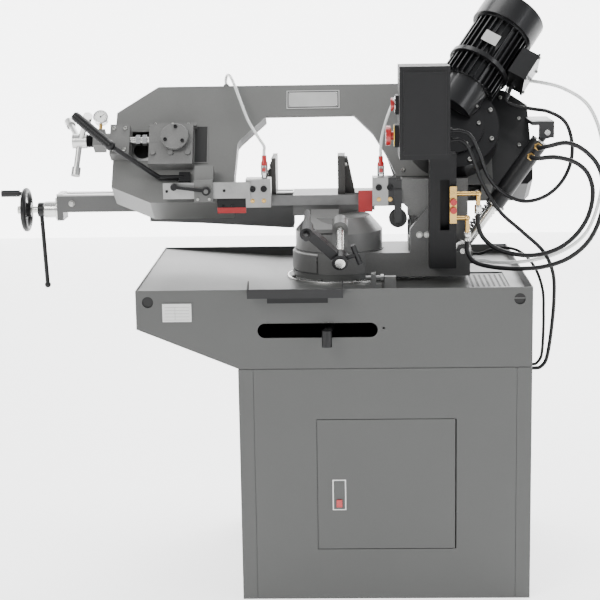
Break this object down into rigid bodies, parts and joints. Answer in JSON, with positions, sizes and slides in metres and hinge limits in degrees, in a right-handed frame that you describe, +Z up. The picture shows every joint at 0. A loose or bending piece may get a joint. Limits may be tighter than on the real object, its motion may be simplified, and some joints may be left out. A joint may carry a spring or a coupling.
{
  "type": "band saw",
  "caption": "Floor-standing metal-cutting band saw: tilting head on a swivelling arm, long vise bed with handwheel, tray and cabinet with a door.",
  "frame": {"origin": "on the floor, at the centre of the cabinet's footprint", "axes": "+X to the operator's right, along the blade when the head is square; +Y away from the operator; +Z up"},
  "size_m": [1.6669, 0.751, 1.558],
  "materials": {
    "grey_paint": "satin hammer grey",
    "machined_iron": "machined and painted light grey",
    "dark_iron": "dark phosphated",
    "black_paint": "satin black",
    "bright_steel": "bright turned steel",
    "black_plastic": "moulded black",
    "red_plastic": "glossy red",
    "brass": "plain brass",
    "black_rubber": "matt black hose",
    "clear_plastic": "milky tube"
  },
  "bodies": {
    "base": {"cabinet_sides": "grey_paint", "cabinet_front": "grey_paint", "cabinet_back": "grey_paint", "cabinet_floor": "grey_paint", "casing_front": "grey_paint", "casing_shell": "grey_paint", "tray_pan": "grey_paint", "drain_screen": "bright_steel", "offcut_shelf": "black_paint", "miter_stop": "black_paint", "coolant_tank": "black_paint", "turntable_base": "grey_paint", "pivot_post": "bright_steel", "vise_table": "machined_iron", "vise_bed": "grey_paint", "fixed_jaw": "dark_iron", "pump_cable": "black_rubber"},
    "door": {"cabinet_door": "grey_paint"},
    "door_latch": {"latch_button": "red_plastic"},
    "miter_lock": {"miter_lock_lever": "black_paint"},
    "vise_screw": {"lead_screw": "bright_steel", "handwheel": "black_plastic"},
    "vise_jaw": {"movable_jaw": "dark_iron"},
    "vise_clamp": {"clamp_lever": "black_plastic"},
    "length_stop": {"stop_rod": "bright_steel"},
    "length_stop_arm": {"stop_arm": "black_paint"},
    "swivel": {"swivel_arm": "machined_iron", "control_post": "black_paint", "control_box": "black_paint", "hydraulic_manifold": "brass", "control_cable": "black_rubber", "coolant_hose": "clear_plastic"},
    "stop_button": {"emergency_button": "red_plastic"},
    "go_button": {"start_button": "red_plastic"},
    "saw_head": {"head_frame": "grey_paint", "rear_cover": "grey_paint", "pivot_bracket": "dark_iron", "gearbox": "black_paint", "motor": "black_paint", "terminal_box": "black_paint", "saw_blade": "bright_steel", "pull_handle": "black_plastic", "tension_mount": "dark_iron", "right_guide": "black_paint", "guide_clamp": "grey_paint", "hose_upper": "black_rubber", "hose_lower": "black_rubber", "motor_cable": "black_rubber", "tube_left": "clear_plastic", "tube_right": "clear_plastic", "return_spring": "black_paint"},
    "tension_screw": {"tension_handle": "bright_steel"},
    "tension_block": {"tension_slide": "dark_iron"},
    "idler": {"idler_wheel": "machined_iron"},
    "driver": {"drive_wheel": "machined_iron"},
    "brush": {"blade_brush": "black_plastic"},
    "guide": {"left_guide": "dark_iron"},
    "guide_lock": {"guide_lock_lever": "bright_steel"},
    "damper": {"damper_barrel": "black_paint"},
    "piston": {"damper_rod": "bright_steel"}
  },
  "joints": [
    {"name": "door_hinge", "type": "hinge", "parent": "base", "child": "door", "pos_m": [0.177, -0.3458, 0.3115], "axis": [0, 0, 1], "range_deg": [0, 110]},
    {"name": "latch_press", "type": "slide", "parent": "door", "child": "door_latch", "axis": [0, 1, 0], "range_m": [0, 0.0025], "stiffness_N_per_m": 400},
    {"name": "miter_lock_swing", "type": "hinge", "parent": "base", "child": "miter_lock", "pos_m": [-0.115, 0, 0.72], "axis": [0, 0, 1], "range_deg": [-12, 14]},
    {"name": "vise_screw_spin", "type": "hinge", "parent": "base", "child": "vise_screw", "pos_m": [-0.6, 0.125, 0.975], "axis": [1, 0, 0], "range_deg": [-1620, 5400]},
    {"name": "vise_jaw_slide", "type": "slide", "parent": "base", "child": "vise_jaw", "axis": [1, 0, 0], "range_m": [-0.045, 0.15]},
    {"name": "vise_clamp_turn", "type": "hinge", "parent": "base", "child": "vise_clamp", "pos_m": [-0.953, 0.125, 0.975], "axis": [1, 0, 0], "range_deg": [-60, 60]},
    {"name": "length_stop_slide", "type": "slide", "parent": "base", "child": "length_stop", "axis": [0, -0.9511, -0.309], "range_m": [-0.05, 0.03]},
    {"name": "length_stop_turn", "type": "hinge", "parent": "length_stop", "child": "length_stop_arm", "pos_m": [-0.111, -0.13, 0.957], "axis": [0, -0.9511, -0.309], "range_deg": [-15, 60]},
    {"name": "miter_swivel", "type": "hinge", "parent": "base", "child": "swivel", "pos_m": [-0.115, 0, 0.85], "axis": [0, 0, 1], "range_deg": [0, 45], "deforming": ["pump_cable", "control_cable"]},
    {"name": "stop_button_press", "type": "slide", "parent": "swivel", "child": "stop_button", "axis": [1, 0, 0], "range_m": [0, 0.005], "stiffness_N_per_m": 500},
    {"name": "start_button_press", "type": "slide", "parent": "swivel", "child": "go_button", "axis": [1, 0, 0], "range_m": [0, 0.004], "stiffness_N_per_m": 400},
    {"name": "head_pivot", "type": "hinge", "parent": "swivel", "child": "saw_head", "pos_m": [0.165, 0, 0.975], "axis": [0, 1, 0], "range_deg": [0, 45], "deforming": ["return_spring", "hose_upper", "hose_lower", "motor_cable", "coolant_hose"]},
    {"name": "tension_screw_turn", "type": "hinge", "parent": "saw_head", "child": "tension_screw", "pos_m": [-0.818, 0.01588, 1.17595], "axis": [1, 0, 0], "range_deg": [0, 1440]},
    {"name": "tension_slide_move", "type": "slide", "parent": "saw_head", "child": "tension_block", "axis": [1, 0, 0], "range_m": [0, 0.012]},
    {"name": "idler_spin", "type": "hinge", "parent": "tension_block", "child": "idler", "pos_m": [-0.566, 0.08214, 1.14045], "axis": [0, 0.848, -0.5299], "continuous": true},
    {"name": "drive_spin", "type": "hinge", "parent": "saw_head", "child": "driver", "pos_m": [0.191, 0.08214, 1.14045], "axis": [0, 0.848, -0.5299], "continuous": true},
    {"name": "brush_spin", "type": "hinge", "parent": "saw_head", "child": "brush", "pos_m": [0.044, -0.045, 0.965], "axis": [0, 1, 0], "continuous": true},
    {"name": "left_guide_slide", "type": "slide", "parent": "saw_head", "child": "guide", "axis": [1, 0, 0], "range_m": [-0.008, 0.1], "deforming": ["tube_left"]},
    {"name": "guide_lock_turn", "type": "hinge", "parent": "saw_head", "child": "guide_lock", "pos_m": [-0.467, -0.097, 1.048], "axis": [0, 1, 0], "range_deg": [-10, 25]},
    {"name": "damper_hinge", "type": "hinge", "parent": "saw_head", "child": "damper", "pos_m": [0.437, -0.075, 1.192], "axis": [0, -1, 0], "range_deg": [0, 2]},
    {"name": "damper_stroke", "type": "slide", "parent": "damper", "child": "piston", "axis": [0.5798, 0, 0.8148], "range_m": [0, 0.082]}
  ],
  "couplings": [
    {"joint": "vise_jaw_slide", "follows": "vise_screw_spin", "m_per_rad": 0.0015915},
    {"joint": "tension_slide_move", "follows": "tension_screw_turn", "m_per_rad": 0.00047746},
    {"joint": "idler_spin", "follows": "drive_spin", "ratio": 1},
    {"joint": "damper_hinge", "follows": "head_pivot", "ratio": 0.044444},
    {"joint": "damper_stroke", "follows": "head_pivot", "m_per_rad": 0.10441}
  ]
}
